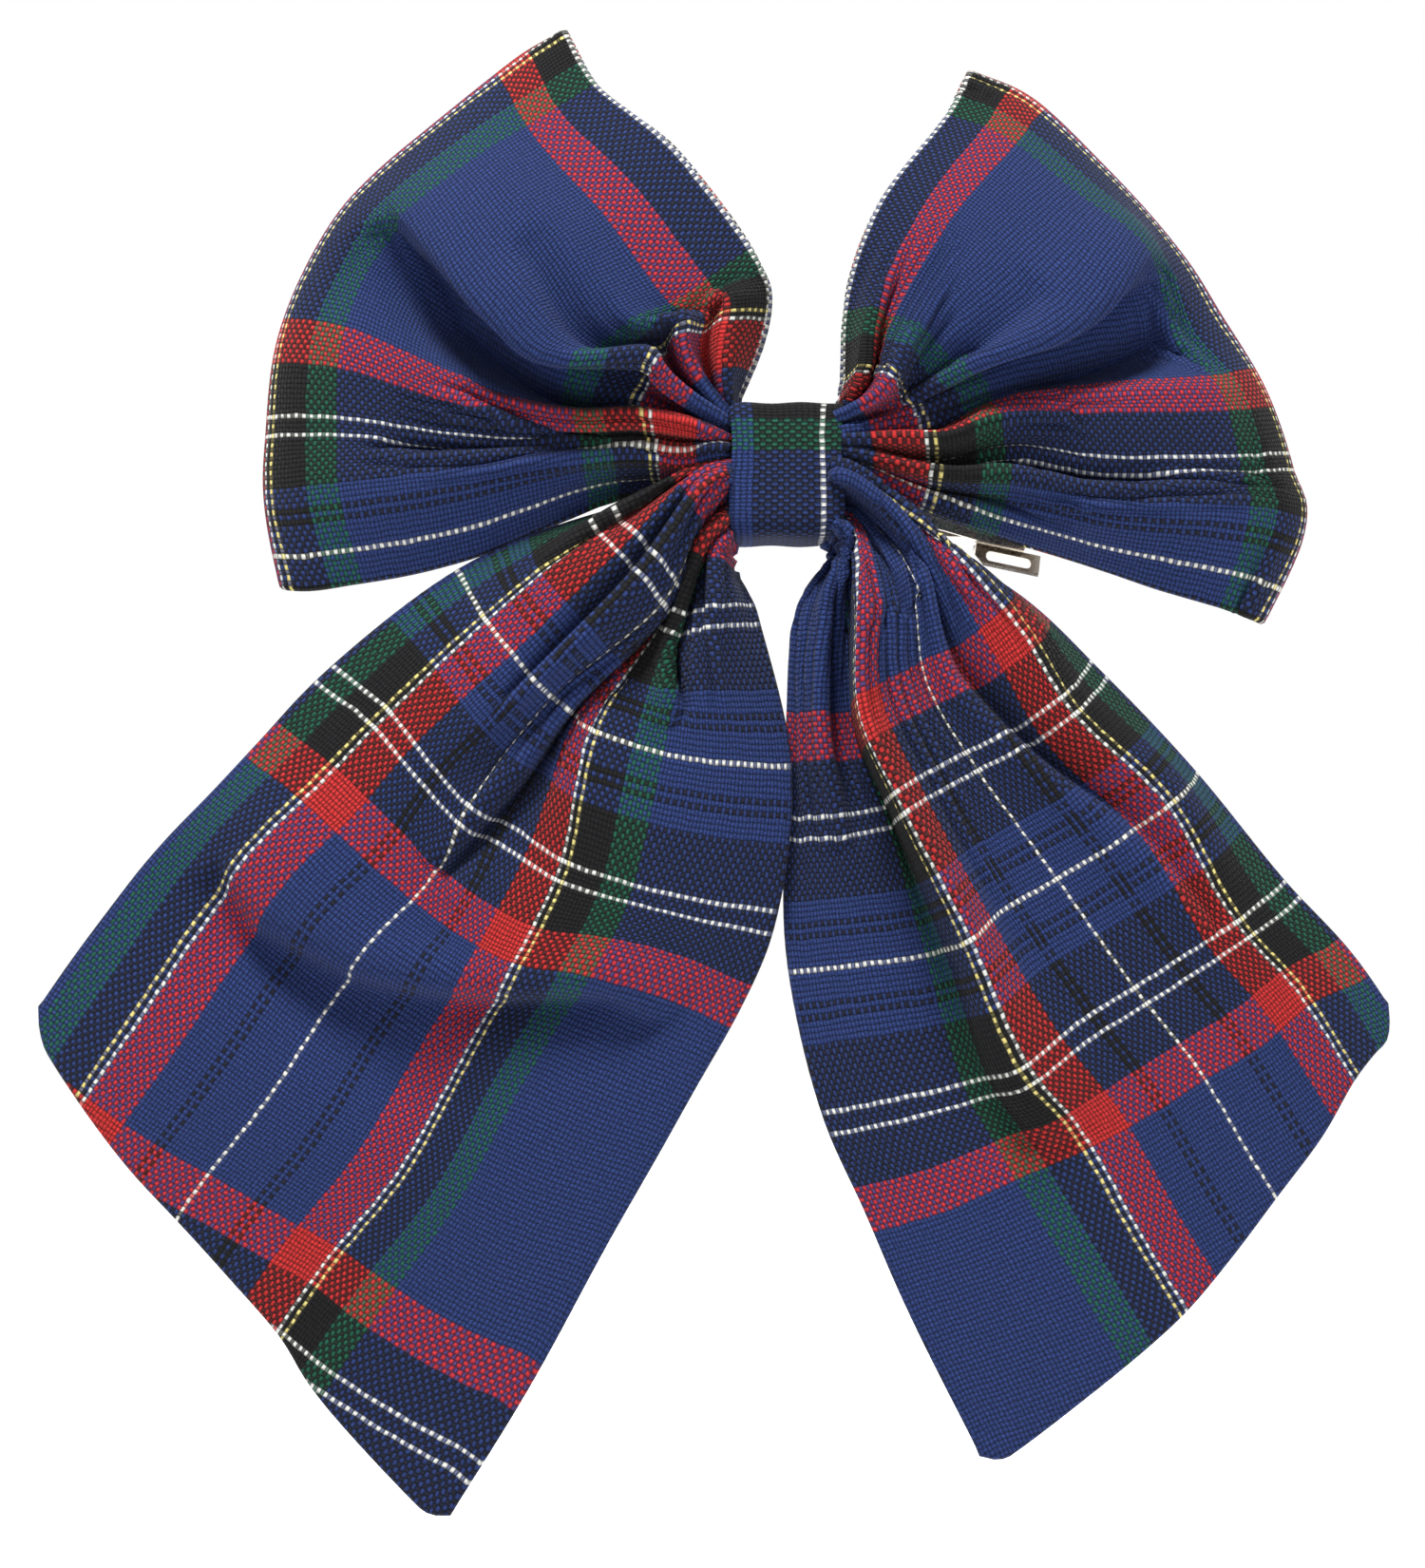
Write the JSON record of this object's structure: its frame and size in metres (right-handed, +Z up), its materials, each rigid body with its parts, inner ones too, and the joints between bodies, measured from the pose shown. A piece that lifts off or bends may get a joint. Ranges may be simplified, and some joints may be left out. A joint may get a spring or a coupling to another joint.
{
  "type": "hair bow",
  "caption": "Large tartan fabric hair bow with two open loops and two slanted tails, held by a centre band on a hinged barrette clip.",
  "frame": {"origin": "middle of the hair clamp, between the tension blade and the lever", "axes": "+Z up, +X to the right of a person looking at the bow's front, and the front faces -Y, as the bow is worn"},
  "size_m": [0.2111, 0.0327, 0.2341],
  "materials": {
    "tartan": "soft matt woven cotton, blue tartan with red, green and black bands and single white and yellow threads",
    "band": "the same woven cotton, folded to a narrow strip",
    "thread": "dark polyester sewing thread",
    "nickel": "nickel-plated pressed steel, warm and lightly worn",
    "spring_steel": "bright spring steel strip"
  },
  "bodies": {
    "bow": {"left_loop_face": "tartan", "left_loop_lining": "tartan", "right_loop_face": "tartan", "right_loop_lining": "tartan", "left_tail_face": "tartan", "left_tail_lining": "tartan", "right_tail_face": "tartan", "right_tail_lining": "tartan", "centre_band": "band", "gather_thread": "thread", "band_stitches": "thread", "base_plate": "nickel", "hinge_pin": "nickel", "clasp_saddle": "nickel", "clasp_rivet": "nickel"},
    "lever": {"lever": "nickel"},
    "tension_blade": {"tension_blade": "spring_steel"},
    "clasp_wing_upper": {"clasp_wing_upper": "spring_steel"},
    "clasp_wing_lower": {"clasp_wing_lower": "spring_steel"}
  },
  "joints": [
    {"name": "lever_hinge", "type": "hinge", "parent": "bow", "child": "lever", "pos_m": [-0.03619, 0.0034, 0.00769], "axis": [0.2079, 0, 0.9781], "range_deg": [0, 75]},
    {"name": "blade_swing", "type": "hinge", "parent": "bow", "child": "tension_blade", "pos_m": [-0.03619, 0.0034, 0.00769], "axis": [0.2079, 0, 0.9781], "range_deg": [0, 4.5]},
    {"name": "wing_squeeze", "type": "hinge", "parent": "bow", "child": "clasp_wing_upper", "pos_m": [0.03165, -0.0006, -0.00213], "axis": [0.9781, 0, -0.2079], "range_deg": [0, 8], "stiffness_Nm_per_rad": 0.02},
    {"name": "lower_wing_squeeze", "type": "hinge", "parent": "bow", "child": "clasp_wing_lower", "pos_m": [0.02978, -0.0006, -0.01093], "axis": [-0.9781, 0, 0.2079], "range_deg": [0, 8], "stiffness_Nm_per_rad": 0.02}
  ],
  "couplings": [
    {"joint": "lower_wing_squeeze", "follows": "wing_squeeze", "ratio": 1}
  ]
}
